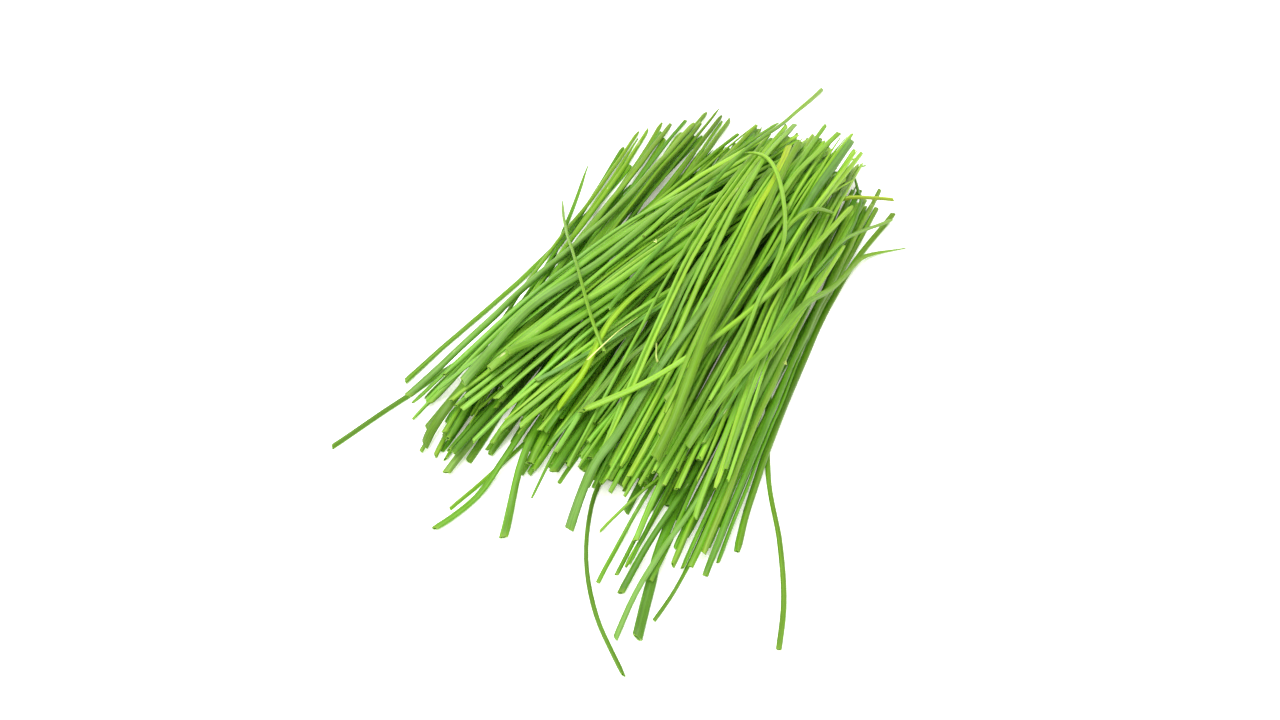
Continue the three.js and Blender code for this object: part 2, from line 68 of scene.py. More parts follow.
class LeafOnPile:
    """A leaf being laid: its points and radii, the places where it is tried, and the spans near."""

    def __init__(self, points, radii, spans):
        self.points = points
        self.radii = radii
        lengths = np.hypot(*np.diff(points[:, :2], axis=0).T)
        steps = np.ceil(lengths / PROBE_STEP).astype(int)
        self.k = np.repeat(np.arange(len(steps)), steps + 1)
        self.f = np.concatenate([np.arange(n + 1) / n for n in steps])
        both = (1 - self.f) ** 2 + self.f ** 2
        self.shares = ((1 - self.f) / both, self.f / both)
        self.radius = radii[self.k] * (1 - self.f) + radii[self.k + 1] * self.f
        self.probe, self.span = np.arange(0), spans[:0]
        if len(spans):
            gap = self.places()[:, None, :2] - spans[:, :2]
            step = spans[:, 3:5]
            along = np.clip((gap * step).sum(2) / (step ** 2).sum(1), 0, 1)
            apart = ((gap - step * along[:, :, None]) ** 2).sum(2)
            self.probe, near = np.nonzero(apart < REACH ** 2)
            self.span = spans[near]

    def places(self):
        start = self.points[self.k]
        return start + (self.points[self.k + 1] - start) * self.f[:, None]

    def reach(self, along):
        return self.radius[self.probe] + self.span[:, 6] + self.span[:, 7] * along + AIR

    def room(self):
        """The height by which each place clears the surface and the spans under it."""
        place = self.places()
        height = self.radius * LOWEST
        gap = place[self.probe, :2] - self.span[:, :2]
        step = self.span[:, 3:5]
        along = np.clip((gap * step).sum(1) / (step ** 2).sum(1), 0, 1)
        above = self.reach(along) ** 2 - ((gap - step * along[:, None]) ** 2).sum(1)
        near = above > 0
        top = self.span[:, 2] + self.span[:, 5] * along
        np.maximum.at(height, self.probe[near], top[near] + np.sqrt(above[near]))
        return place[:, 2] - height

    def lift(self, amount):
        """Lifts the points until every place is higher by at least its amount."""
        lifts = np.zeros(len(self.points))
        for end, share in enumerate(self.shares):
            np.maximum.at(lifts, self.k + end, amount * share)
        self.points[:, 2] += lifts

    def spring_back(self, dropped):
        for k in range(1, len(self.points) - 1):
            off = self.points[k - 1:k + 2] - dropped[k - 1:k + 2]
            bend = STIFFNESS * (off[1] - (off[0] + off[2]) / 2)
            self.points[k - 1:k + 2] += np.outer([0.5, -1, 0.5], bend)

    def push_off(self, across, slide):
        """Lifts the leaf off what it touches, and slides it across by a share of the pushes."""
        place = self.places()
        gap = place[self.probe] - self.span[:, :3]
        step = self.span[:, 3:6]
        along = np.clip((gap * step).sum(1) / (step ** 2).sum(1), 0, 1)
        gap -= step * along[:, None]
        apart = np.sqrt((gap ** 2).sum(1))
        push = self.reach(along) - apart
        hit = (push > 0) & (apart > 0)
        probe, push, unit = self.probe[hit], push[hit], gap[hit] / apart[hit, None]
        up = np.maximum(0, self.radius * LOWEST - place[:, 2])
        np.maximum.at(up, probe, push * np.maximum(np.abs(unit[:, 2]), LEAST_LIFT))
        self.lift(up)
        touching = np.bincount(probe, minlength=len(self.k))
        aside = np.bincount(probe, push * (unit[:, :2] @ across), len(self.k))
        on = touching > 0
        point = np.concatenate([self.k[on], self.k[on] + 1])
        weight = np.concatenate([1 - self.f[on], self.f[on]])
        mean = np.tile(aside[on] / touching[on], 2)
        total = np.maximum(np.bincount(point, weight, len(self.points)), 1e-9)
        moved = np.bincount(point, weight * mean, len(self.points)) / total
        self.points[:, :2] += slide * np.outer(moved, across)

    def touch_down(self):
        """Lowers each point in turn, by one drop at most, until a place beside it touches."""
        for k in range(len(self.points)):
            weight = np.where(self.k == k, 1 - self.f, np.where(self.k + 1 == k, self.f, 0))
            beside = weight > 0
            room = (self.room()[beside] / weight[beside]).min()
            self.points[k, 2] -= np.clip(room, 0, DROP)


pile = np.empty((0, 8))  # the spans laid so far: start, step, radius and its change


def lay_down(plan, radii, slide=0.0):
    """Drops a leaf on the pile from its place in plan, and returns the path that it settles to."""
    global pile
    dropped = np.column_stack([np.array(plan, float), np.zeros(len(plan))])
    leaf = LeafOnPile(dropped.copy(), radii, pile)
    chord = dropped[-1, :2] - dropped[0, :2]
    across = np.array([chord[1], -chord[0]]) / np.hypot(*chord)
    leaf.lift(np.maximum(0, -leaf.room()))
    for _ in range(SETTLING_ROUNDS):
        leaf.points[:, 2] -= DROP
        leaf.spring_back(dropped)
        leaf.push_off(across, slide)
    leaf.lift(np.maximum(0, -leaf.room()))
    leaf.touch_down()
    steps = np.diff(leaf.points, axis=0)
    laid = np.column_stack([leaf.points[:-1], steps, radii[:-1], np.diff(radii)])
    pile = np.concatenate([pile, laid])
    return leaf.points


def add(tree, kind, inputs=(), **settings):
    """Adds a node, with its settings and its inputs' links or values, and returns an output."""
    node = tree.nodes.new(kind)
    for name, value in settings.items():
        setattr(node, name, value)
    for key, value in dict(inputs).items():
        open_sockets = [s for s in node.inputs if s.enabled]
        socket = open_sockets[key] if isinstance(key, int) else next(
            s for s in open_sockets if s.name == key)
        if isinstance(value, bpy.types.NodeSocket):
            tree.links.new(value, socket)
        else:
            socket.default_value = value
    return next((s for s in node.outputs if s.enabled), None)


# The leaf that every other is drawn from: straight, of unit length and radius, along Z, with a
# hollow at each end. The rings near an end let the knife's cut slant and squeeze it.
LEAF_SIDES = 18
CUT_END = [(0.5, 0.5), (0.1, 0.6), (0, 0.7), (0, 0.9), (0.12, 1)]  # mm in from the cut, radii
NEAR_END = [0.004, 0.010, 0.018, 0.028]  # places of rings, in leaf lengths
BODY_RINGS = 36


def unit_leaf():
    near = [(place, 0, 1, 1 - place / NEAR_END[-1]) for place in NEAR_END]
    start = [(0, inset, share, 1) for inset, share in CUT_END] + near
    body = [(place, 0, 1, 0) for place in np.linspace(0.04, 0.96, BODY_RINGS)]
    end = [(1 - place, -inset, share, -trim) for place, inset, share, trim in reversed(start)]
    place, inset, share, trim = np.array(start + body + end, float).T
    angle = 2 * math.pi * np.arange(LEAF_SIDES) / LEAF_SIDES
    circle = np.column_stack([np.cos(angle), np.sin(angle)])
    corners = np.concatenate([
        np.column_stack([circle * width, np.full(LEAF_SIDES, z)]) for z, width in zip(place, share)])
    faces = [tuple(range(LEAF_SIDES))[::-1]]
    for ring in range(len(place) - 1):
        low = ring * LEAF_SIDES
        for i in range(LEAF_SIDES):
            j = (i + 1) % LEAF_SIDES
            faces.append((low + i, low + j, low + LEAF_SIDES + j, low + LEAF_SIDES + i))
    faces.append(tuple(range(len(corners) - LEAF_SIDES, len(corners))))
    mesh = bpy.data.meshes.new("unit_leaf")
    mesh.from_pydata(corners.tolist(), [], faces)
    for name, values in (("inset", inset * MM), ("trim", trim), ("from_axis", share)):
        layer = mesh.attributes.new(name, "FLOAT", "POINT")
        layer.data.foreach_set("value", np.repeat(values, LEAF_SIDES))
    cut_faces = 1 + 3 * LEAF_SIDES  # the floor of the hollow, its wall and the rim
    cut = np.zeros(len(faces), bool)
    cut[:cut_faces] = cut[-cut_faces:] = True
    mesh.attributes.new("cut", "BOOLEAN", "FACE").data.foreach_set("value", cut)
    return bpy.data.objects.new("unit_leaf", mesh)


# How the tree shapes every leaf. Breadths and thicknesses are radii of the path.
APART_IN_NOISE = (40, 40, 40)  # so that no two leaves share a stretch of a noise pattern
RIM_NOISE = (2.5, 2.5, 9.0)
WAVE_LENGTH = 25 * MM
TIP_DRAWN_OUT = 0.55  # share of the breadth that is gone at the end of a grown tip
FLAT_FROM = 0.3  # place along a leaf from which its thin end broadens
SLENDER, STOUT = 0.8 * MM, 1.5 * MM  # radii: a slender leaf's thin end goes flat, a stout one's not
ROUND_BREADTH, FLAT_BREADTH = 0.8, 0.98
FAR_BELOW = -9  # metres: no limit for a place


def leaves_on_paths():
    """The node tree that bends the unit leaf on to each path of a mesh of chained edges."""
    tree = bpy.data.node_groups.new("leaves_on_paths", "GeometryNodeTree")
    for name, kind in (("Paths", "Geometry"), ("Unit leaf", "Object"), ("Flattest", "Float"),
                       ("Roundest", "Float"), ("Roll", "Float"), ("Twist", "Float"),
                       ("Lobes", "Float"), ("Unevenness", "Float"), ("Waves", "Float"),
                       ("Slant", "Float"), ("Ragged rim", "Float"), ("Pinch", "Float"),
                       ("Pinched length", "Float"), ("Thin end", "Float"),
                       ("Tip length", "Float"), ("Seed", "Int"), ("Skin", "Material"),
                       ("Cut tissue", "Material")):
        tree.interface.new_socket(name, in_out="INPUT", socket_type="NodeSocket" + kind)
    tree.interface.new_socket("Leaves", in_out="OUTPUT", socket_type="NodeSocketGeometry")
    given = add(tree, "NodeGroupInput").node.outputs

    # Smooth paths, with their normals level.
    curve = add(tree, "GeometryNodeMeshToCurve", {"Mesh": given["Paths"]})
    curve = add(tree, "GeometryNodeCurveSplineType", {"Curve": curve}, spline_type="CATMULL_ROM")
    curve = add(tree, "GeometryNodeResampleCurve", {"Curve": curve, "Count": 2 * BODY_RINGS + 1})
    curve = add(tree, "GeometryNodeSetCurveNormal", {"Curve": curve}, mode="Z_UP")

    # One unit leaf for each path, which knows its number.
    size = add(tree, "GeometryNodeAttributeDomainSize", {0: curve}, component="CURVE").node
    points = add(tree, "GeometryNodePoints", {"Count": size.outputs["Spline Count"]})
    points = add(tree, "GeometryNodeStoreNamedAttribute", {
        "Geometry": points, "Name": "leaf", "Value": add(tree, "GeometryNodeInputIndex"),
    }, data_type="INT")
    unit = add(tree, "GeometryNodeObjectInfo", {"Object": given["Unit leaf"]}).node
    leaves = add(tree, "GeometryNodeInstanceOnPoints", {
        "Points": points, "Instance": unit.outputs["Geometry"]})
    leaves = add(tree, "GeometryNodeRealizeInstances", {"Geometry": leaves})

    # What holds for a whole leaf: two draws of chance, its length, its radius and its tip.
    leaf = add(tree, "GeometryNodeInputNamedAttribute", {"Name": "leaf"}, data_type="INT")
    other_seed = add(tree, "ShaderNodeMath", {0: given["Seed"], 1: 100.0}, operation="ADD")
    draw, build = [
        add(tree, "FunctionNodeRandomValue", {
            "Min": (-1, -1, -1), "Max": (1, 1, 1), "ID": leaf, "Seed": seed,
        }, data_type="FLOAT_VECTOR") for seed in (given["Seed"], other_seed)]
    turn, flatness, phase = [
        add(tree, "ShaderNodeSeparateXYZ", {0: build}).node.outputs[axis] for axis in "XYZ"]
    length, stem, grown = [
        add(tree, "GeometryNodeSampleIndex", {"Geometry": curve, "Value": value, "Index": leaf},
            data_type="FLOAT", domain="CURVE")
        for value in (
            add(tree, "GeometryNodeSplineLength"),
            add(tree, "GeometryNodeInputNamedAttribute", {"Name": "stem"}, data_type="FLOAT"),
            add(tree, "GeometryNodeInputNamedAttribute", {"Name": "grown"}, data_type="FLOAT"))]

    # What the materials read: a draw, the place on the straight leaf, and how near a cut is.
    place = add(tree, "GeometryNodeInputPosition")
    unit = add(tree, "ShaderNodeSeparateXYZ", {0: place}).node.outputs
    full_size = add(tree, "ShaderNodeCombineXYZ", {"X": stem, "Y": stem, "Z": length})
    grain = add(tree, "ShaderNodeVectorMath", {0: place, 1: full_size}, operation="MULTIPLY")
    from_end = add(tree, "ShaderNodeMath", {0: 1.0, 1: unit["Z"]}, operation="SUBTRACT")
    from_end = add(tree, "ShaderNodeMath", {0: from_end, 1: unit["Z"]}, operation="MINIMUM")
    from_end = add(tree, "ShaderNodeMath", {0: from_end, 1: length}, operation="MULTIPLY")
    for name, value, kind in (("tint", draw, "FLOAT_VECTOR"), ("grain", grain, "FLOAT_VECTOR"),
                              ("from_end", from_end, "FLOAT")):
        leaves = add(tree, "GeometryNodeStoreNamedAttribute", {
            "Geometry": leaves, "Name": name, "Value": value}, data_type=kind)

    # The place along the path. The rim is ragged, and further on at one side of a slanting cut.
    spread = add(tree, "ShaderNodeVectorMath", {0: draw, 1: APART_IN_NOISE}, operation="MULTIPLY")
    slant = add(tree, "ShaderNodeSeparateXYZ", {0: draw}).node.outputs["Z"]
    slant = add(tree, "ShaderNodeMath", {0: slant, 1: given["Slant"]}, operation="MULTIPLY")
    round_rim = add(tree, "ShaderNodeVectorMath", {0: place, 1: RIM_NOISE, 2: spread},
                    operation="MULTIPLY_ADD")
    ragged = add(tree, "ShaderNodeTexNoise", {"Vector": round_rim, "Scale": 1.0, "Detail": 1.0})
    ragged = add(tree, "ShaderNodeMath", {0: ragged, 1: given["Ragged rim"]}, operation="MULTIPLY")
    shift = add(tree, "ShaderNodeMath", {0: slant, 1: unit["X"], 2: ragged},
                operation="MULTIPLY_ADD")
    trim = add(tree, "GeometryNodeInputNamedAttribute", {"Name": "trim"}, data_type="FLOAT")
    inset = add(tree, "GeometryNodeInputNamedAttribute", {"Name": "inset"}, data_type="FLOAT")
    shift = add(tree, "ShaderNodeMath", {0: shift, 1: trim, 2: inset}, operation="MULTIPLY_ADD")
    shift = add(tree, "ShaderNodeMath", {0: shift, 1: length}, operation="DIVIDE")
    along = add(tree, "ShaderNodeMath", {0: unit["Z"], 1: shift}, operation="ADD")
    sample = add(tree, "GeometryNodeSampleCurve", {
        "Curves": curve, "Value": add(tree, "GeometryNodeInputRadius"), "Factor": along,
        "Curve Index": leaf}, mode="FACTOR", data_type="FLOAT").node.outputs
    up = add(tree, "ShaderNodeVectorMath", {0: sample["Tangent"], 1: sample["Normal"]},
             operation="CROSS_PRODUCT")

    # The width: uneven along the leaf, broader where the thin end of a slender leaf has gone
    # flat, and drawn out to a point at a grown tip.
    tip_start = add(tree, "ShaderNodeMath", {0: 1.0, 1: given["Tip length"]}, operation="SUBTRACT")
    drawn_out = add(tree, "ShaderNodeMapRange", {
        "Value": unit["Z"], "From Min": tip_start, "From Max": 1.0, "To Min": 0.0,
        "To Max": TIP_DRAWN_OUT}, interpolation_type="SMOOTHSTEP")
    drawn_out = add(tree, "ShaderNodeMath", {0: grown, 1: drawn_out}, operation="MULTIPLY")
    kept = add(tree, "ShaderNodeMath", {0: 1.0, 1: drawn_out}, operation="SUBTRACT")
    from_start = add(tree, "ShaderNodeMath", {0: unit["Z"], 1: length}, operation="MULTIPLY")
    down_leaf = add(tree, "ShaderNodeCombineXYZ", {
        "Z": add(tree, "ShaderNodeMath", {0: from_start, 1: WAVE_LENGTH}, operation="DIVIDE")})
    down_leaf = add(tree, "ShaderNodeVectorMath", {0: down_leaf, 1: spread}, operation="ADD")
    chance = add(tree, "ShaderNodeTexNoise", {
        "Vector": down_leaf, "Scale": 1.0, "Detail": 1.0}).node.outputs
    uneven = add(tree, "ShaderNodeMath", {0: chance[0], 1: 0.5}, operation="SUBTRACT")
    uneven = add(tree, "ShaderNodeMath", {0: uneven, 1: given["Unevenness"], 2: 1.0},
                 operation="MULTIPLY_ADD")
    width = add(tree, "ShaderNodeMath", {0: sample["Value"], 1: kept}, operation="MULTIPLY")
    width = add(tree, "ShaderNodeMath", {0: width, 1: uneven}, operation="MULTIPLY")
    thin_end = add(tree, "ShaderNodeMapRange", {
        "Value": stem, "From Min": SLENDER, "From Max": STOUT, "To Min": given["Thin end"],
        "To Max": 1.0})
    collapsed = add(tree, "ShaderNodeMapRange", {
        "Value": unit["Z"], "From Min": FLAT_FROM, "From Max": 1.0, "To Min": 1.0,
        "To Max": thin_end}, interpolation_type="SMOOTHSTEP")
    width = add(tree, "ShaderNodeMath", {0: width, 1: collapsed}, operation="MULTIPLY")

    # The section: three soft lobes, pressed flat by a share of its own, and rolled as it twists.
    round_leaf = add(tree, "ShaderNodeMath", {0: unit["Y"], 1: unit["X"]}, operation="ARCTAN2")
    start = add(tree, "ShaderNodeMath", {0: phase, 1: math.pi}, operation="MULTIPLY")
    lobes = add(tree, "ShaderNodeMath", {0: round_leaf, 1: 3.0, 2: start},
                operation="MULTIPLY_ADD")
    lobes = add(tree, "ShaderNodeMath", {0: lobes}, operation="COSINE")
    lobes = add(tree, "ShaderNodeMath", {0: lobes, 1: given["Lobes"], 2: 1.0},
                operation="MULTIPLY_ADD")
    flat = add(tree, "ShaderNodeMapRange", {
        "Value": flatness, "From Min": -1.0, "From Max": 1.0, "To Min": given["Flattest"],
        "To Max": given["Roundest"]})
    broad = add(tree, "ShaderNodeMapRange", {
        "Value": flat, "From Min": 1.0, "From Max": 0.0, "To Min": ROUND_BREADTH,
        "To Max": FLAT_BREADTH})
    pinch = add(tree, "ShaderNodeMapRange", {
        "Value": from_end, "From Min": 0.0, "From Max": given["Pinched length"],
        "To Min": given["Pinch"], "To Max": 0.0}, interpolation_type="SMOOTHSTEP")
    pinch = add(tree, "ShaderNodeMath", {0: 1.0, 1: pinch}, operation="SUBTRACT")
    flat = add(tree, "ShaderNodeMath", {0: flat, 1: pinch}, operation="MULTIPLY")
    pressed = add(tree, "ShaderNodeCombineXYZ", {"X": broad, "Y": flat})
    section = add(tree, "ShaderNodeVectorMath", {0: place, 1: pressed}, operation="MULTIPLY")
    section = add(tree, "ShaderNodeVectorMath", {0: section, "Scale": lobes}, operation="SCALE")
    section = add(tree, "ShaderNodeVectorMath", {0: section, "Scale": width}, operation="SCALE")
    twist = add(tree, "ShaderNodeMath", {0: phase, 1: given["Twist"]}, operation="MULTIPLY")
    roll = add(tree, "ShaderNodeMath", {0: turn, 1: given["Roll"]}, operation="MULTIPLY")
    roll = add(tree, "ShaderNodeMath", {0: twist, 1: unit["Z"], 2: roll},
               operation="MULTIPLY_ADD")
    section = add(tree, "ShaderNodeVectorRotate", {"Vector": section, "Angle": roll},
                  rotation_type="Z_AXIS")
    section = add(tree, "ShaderNodeSeparateXYZ", {0: section}).node.outputs

    # Out from the path, which waves a little, but never into the surface that a leaf lies on.
    waves = add(tree, "ShaderNodeVectorMath", {0: chance["Color"], 1: (0.5, 0.5, 0.5)},
                operation="SUBTRACT")
    waves = add(tree, "ShaderNodeVectorMath", {0: waves, "Scale": given["Waves"]},
                operation="SCALE")
    place = add(tree, "ShaderNodeVectorMath", {0: sample["Position"], 1: waves}, operation="ADD")
    for direction, distance in ((sample["Normal"], section["X"]), (up, section["Y"])):
        away = add(tree, "ShaderNodeVectorMath", {0: direction, "Scale": distance},
                   operation="SCALE")
        place = add(tree, "ShaderNodeVectorMath", {0: place, 1: away}, operation="ADD")
    place = add(tree, "ShaderNodeVectorMath", {0: place, 1: (FAR_BELOW, FAR_BELOW, 0)}, operation="MAXIMUM")
    leaves = add(tree, "GeometryNodeSetPosition", {"Geometry": leaves, "Position": place})
    leaves = add(tree, "GeometryNodeRealizeInstances", {"Geometry": leaves})
    leaves = add(tree, "GeometryNodeSetMaterial", {"Geometry": leaves, "Material": given["Skin"]})
    cut = add(tree, "GeometryNodeInputNamedAttribute", {"Name": "cut"}, data_type="BOOLEAN")
    leaves = add(tree, "GeometryNodeSetMaterial", {
        "Geometry": leaves, "Selection": cut, "Material": given["Cut tissue"]})
    add(tree, "NodeGroupOutput", {0: leaves})
    return tree


def linear(hex_colour):
    """A hex sRGB colour as linear RGBA."""
    shares = [int(hex_colour[i:i + 2], 16) / 255 for i in (1, 3, 5)]
    return (*[s / 12.92 if s <= 0.04045 else ((s + 0.055) / 1.055) ** 2.4 for s in shares], 1)


# Patterns of the skin: mm apart, mm long, detail. Ribs are about a millimetre apart. Real veins
# are 0.2 mm apart, and these 0.35 mm, so that they show.
RIBS, VEINS, SCUFFS = (0.9, 45, 1.0), (0.35, 30, 1.0), (1.5, 6, 3.0)
BLOOM_PATCH = 8 * MM
DRIED_LENGTH = 2 * MM  # how far a cut dries back
# How near other leaves must be for their shade to be painted into a leaf's green.
ENCLOSED_WITHIN = 8 * MM  # how near other leaves are that shade a place


def leaf_skin(name, cool, warm, tip, bloom=0.12, changes=(60, 150)):
    """The waxed skin of a living leaf: dull, a little translucent, and ribbed by its veins."""
    material = bpy.data.materials.new(name + "_chive_skin")
    material.use_nodes = True
    tree = material.node_tree
    tree.nodes.clear()
    draw = add(tree, "ShaderNodeAttribute", attribute_name="tint").node.outputs["Vector"]
    tint = add(tree, "ShaderNodeSeparateXYZ", {0: draw}).node.outputs
    grain = add(tree, "ShaderNodeAttribute", attribute_name="grain").node.outputs["Vector"]
    along = add(tree, "ShaderNodeSeparateXYZ", {0: grain}).node.outputs["Z"]
    from_end = add(tree, "ShaderNodeAttribute", attribute_name="from_end").node.outputs["Fac"]

    # Each leaf is bluer or yellower than the next, and changes towards its thin end.
    warmth = add(tree, "ShaderNodeMapRange", {"Value": tint["X"], "From Min": -1.0})
    colour = add(tree, "ShaderNodeMix", {
        "Factor": warmth, "A": linear(cool), "B": linear(warm)}, data_type="RGBA")
    ripe = add(tree, "ShaderNodeMapRange", {
        "Value": along, "From Min": changes[0] * MM, "From Max": changes[1] * MM})
    colour = add(tree, "ShaderNodeMix", {
        "Factor": ripe, "A": colour, "B": linear(tip)}, data_type="RGBA")

    # Ribs and veins run down the leaf in light and dark, and each leaf has its own shade. Their dark falls
    # where their bumps dip: partly the skin's own streaked colour, partly painted shade in the grooves and
    # painted highlight on the ridges.
    spread = add(tree, "ShaderNodeVectorMath", {0: draw, 1: APART_IN_NOISE}, operation="MULTIPLY")
    ribs, veins, scuffs = [
        add(tree, "ShaderNodeTexNoise", {
            "Vector": add(tree, "ShaderNodeVectorMath", {
                0: grain, 1: (1 / (apart * MM), 1 / (apart * MM), 1 / (long * MM)), 2: spread,
            }, operation="MULTIPLY_ADD"), "Scale": 1.0, "Detail": detail})
        for apart, long, detail in (RIBS, VEINS, SCUFFS)]
    rib_stripes_and_shade, vein_stripes_and_shade, leaf_shade = [
        add(tree, "ShaderNodeMapRange", {
            "Value": value, "From Min": low, "From Max": high, "To Min": dark, "To Max": light})
        for value, low, high, dark, light in (
            (ribs, 0.36, 0.64, 0.82, 1.14), (veins, 0.36, 0.64, 0.87, 1.1),
            (tint["Y"], -1.0, 1.0, 0.86, 1.08))]
    # Painted shade and highlight of the ribs and veins, partly their own colour, times the leaf's own
    # shade.
    shade = add(tree, "ShaderNodeMath", {0: rib_stripes_and_shade, 1: vein_stripes_and_shade}, operation="MULTIPLY")
    shade = add(tree, "ShaderNodeMath", {0: shade, 1: leaf_shade}, operation="MULTIPLY")
    colour = add(tree, "ShaderNodeHueSaturation", {"Value": shade, "Color": colour})

    # The wax bloom is a thin pale film, rubbed off in patches. A few scuffs have dried, and so
    # have the last millimetres before a cut.
    place = add(tree, "ShaderNodeTexCoord").node.outputs["Object"]
    rubbed = add(tree, "ShaderNodeTexNoise", {
        "Vector": place, "Scale": 1 / BLOOM_PATCH, "Detail": 3.0, "Roughness": 0.55})
    film = add(tree, "ShaderNodeMapRange", {
        "Value": rubbed, "From Min": 0.35, "From Max": 0.7, "To Max": bloom})
    scuff = add(tree, "ShaderNodeMapRange", {
        "Value": scuffs, "From Min": 0.71, "From Max": 0.78, "To Max": 0.7})
    drying = add(tree, "ShaderNodeMapRange", {
        "Value": tint["Z"], "From Min": -1.0, "To Min": 0.0, "To Max": 0.6})
    dry = add(tree, "ShaderNodeMapRange", {
        "Value": from_end, "From Max": DRIED_LENGTH, "To Min": drying, "To Max": 0.0})
    for share, shade in ((film, "#8cb072"), (scuff, "#b4b282"), (dry, "#708c22")):
        colour = add(tree, "ShaderNodeMix", {
            "Factor": share, "A": colour, "B": linear(shade)}, data_type="RGBA")

    # Painted shade: down in the bunch, shaded by and lit through other leaves, a leaf is painted deeper
    # green.
    open_air = add(tree, "ShaderNodeAmbientOcclusion", {"Distance": ENCLOSED_WITHIN}, samples=4)
    painted_deep_shade = add(tree, "ShaderNodeMapRange", {
        "Value": open_air.node.outputs["AO"], "From Min": 0.05, "From Max": 0.7,
        "To Min": 0.75, "To Max": 0.0})
    # The deeper green that stands in for the shade of the leaves round it.
    colour = add(tree, "ShaderNodeMix", {
        "Factor": painted_deep_shade, "A": colour, "B": linear("#68b40e")}, data_type="RGBA")
    roughness = add(tree, "ShaderNodeMapRange", {
        "Value": film, "From Max": 0.3, "To Min": 0.48, "To Max": 0.64})
    bump = add(tree, "ShaderNodeBump", {
        "Height": ribs, "Distance": 0.3 * MM, "Strength": 0.5})
    bump = add(tree, "ShaderNodeBump", {
        "Height": veins, "Distance": 0.1 * MM, "Strength": 0.5, "Normal": bump})
    skin = add(tree, "ShaderNodeBsdfPrincipled", {
        "Base Color": colour, "Roughness": roughness, "Normal": bump, "IOR": 1.45,
        "Specular IOR Level": 0.25, "Subsurface Weight": 0.12, "Subsurface Radius": (0.4, 1.0, 0.1),
        "Subsurface Scale": 0.6 * MM})
    add(tree, "ShaderNodeOutputMaterial", {"Surface": skin})
    return material


def cut_tissue():
    """Leaf tissue laid bare by the knife: pale and moist at the rim, painted a darker green in the hollow
    as its shade.
    """
    material = bpy.data.materials.new("cut_chive_tissue")
    material.use_nodes = True
    tree = material.node_tree
    tree.nodes.clear()
    from_axis = add(tree, "ShaderNodeAttribute", attribute_name="from_axis").node.outputs["Fac"]
    # The pale rim is the tissue's own colour; the darker green down in the hollow is painted shade.
    rim = add(tree, "ShaderNodeMapRange", {"Value": from_axis, "From Min": 0.55, "From Max": 0.75})
    colour = add(tree, "ShaderNodeMix", {
        "Factor": rim, "A": linear("#3e6e14"), "B": linear("#7ca030")}, data_type="RGBA")
    tissue = add(tree, "ShaderNodeBsdfPrincipled", {
        "Base Color": colour, "Roughness": 0.35, "IOR": 1.36, "Subsurface Weight": 0.15,
        "Subsurface Radius": (0.4, 1.0, 0.1), "Subsurface Scale": 0.4 * MM})
    add(tree, "ShaderNodeOutputMaterial", {"Surface": tissue})
    return material


pattern = unit_leaf()
laying_tree = leaves_on_paths()
inputs = {item.name: item.identifier for item in laying_tree.interface.items_tree
          if item.in_out == "INPUT"}
cut_face = cut_tissue()
skins = {}
pieces = []
LEAF_SHAPE = {
    "Flattest": 0.5, "Roundest": 0.95,  # height of a section, as a share of its width
    "Roll": 0.9, "Twist": 1.2,  # radians: how far a leaf lies turned, and turns along its length
    "Lobes": 0.06, "Unevenness": 0.35,
    "Waves": 1.2 * MM,
    "Slant": 0.8 * MM, "Ragged rim": 0.7 * MM,
    "Pinch": 0.4, "Pinched length": 3 * MM,  # how the knife squeezed a leaf at its cuts
    "Thin end": 1.6, "Tip length": 0.12,
}


def bend_leaves(name, slot, leaves, skin, **changed):
    """Makes a piece of laid leaves, each a path, its radii, and 1 if its tip is a grown one."""
    mesh = bpy.data.meshes.new(name + "_paths")
    points = np.concatenate([path for path, radii, grown in leaves]) * MM + origin
    counts = [len(path) for path, radii, grown in leaves]
    last = set(np.cumsum(counts) - 1)
    edges = [(i, i + 1) for i in range(len(points)) if i not in last]
    mesh.from_pydata(points.tolist(), edges, [])
    radius = np.concatenate([radii for path, radii, grown in leaves]) * MM
    stem = np.repeat([radii[0] for path, radii, grown in leaves], counts) * MM
    tips = np.repeat([float(grown) for path, radii, grown in leaves], counts)
    for attribute, values in (("radius", radius), ("stem", stem), ("grown", tips)):
        mesh.attributes.new(attribute, "FLOAT", "POINT").data.foreach_set("value", values)
    piece = bpy.data.objects.new(name, mesh)
    bpy.context.scene.collection.objects.link(piece)
    modifier = piece.modifiers.new("leaves", "NODES")
    modifier.node_group = laying_tree
    shape = {**LEAF_SHAPE, **changed, "Unit leaf": pattern, "Seed": len(pieces), "Skin": skin,
             "Cut tissue": cut_face}
    for label, value in shape.items():
        modifier[inputs[label]] = value
    evaluated = piece.evaluated_get(bpy.context.evaluated_depsgraph_get())
    fine = bpy.data.meshes.new_from_object(evaluated)
    piece.modifiers.clear()
    piece.data = fine
    bpy.data.meshes.remove(mesh)
    fine.shade_smooth()
    fine.set_sharp_from_angle(angle=math.radians(40))
    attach(piece, "root")
    pieces.append(piece)
    return piece


def lay_leaf(node, slot, radius, path, grown=False, skin=None, **changed):
    """Lays one leaf along its path in plan, thick end first."""
    radii = radii_along(len(path), radius, GROWN_TIP if grown else CUT_TIP)
    leaves = [(lay_down(path, radii), radii, grown)]
    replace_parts(bend_leaves(node + "_fine", slot, leaves, skins[skin or slot], **changed), node)


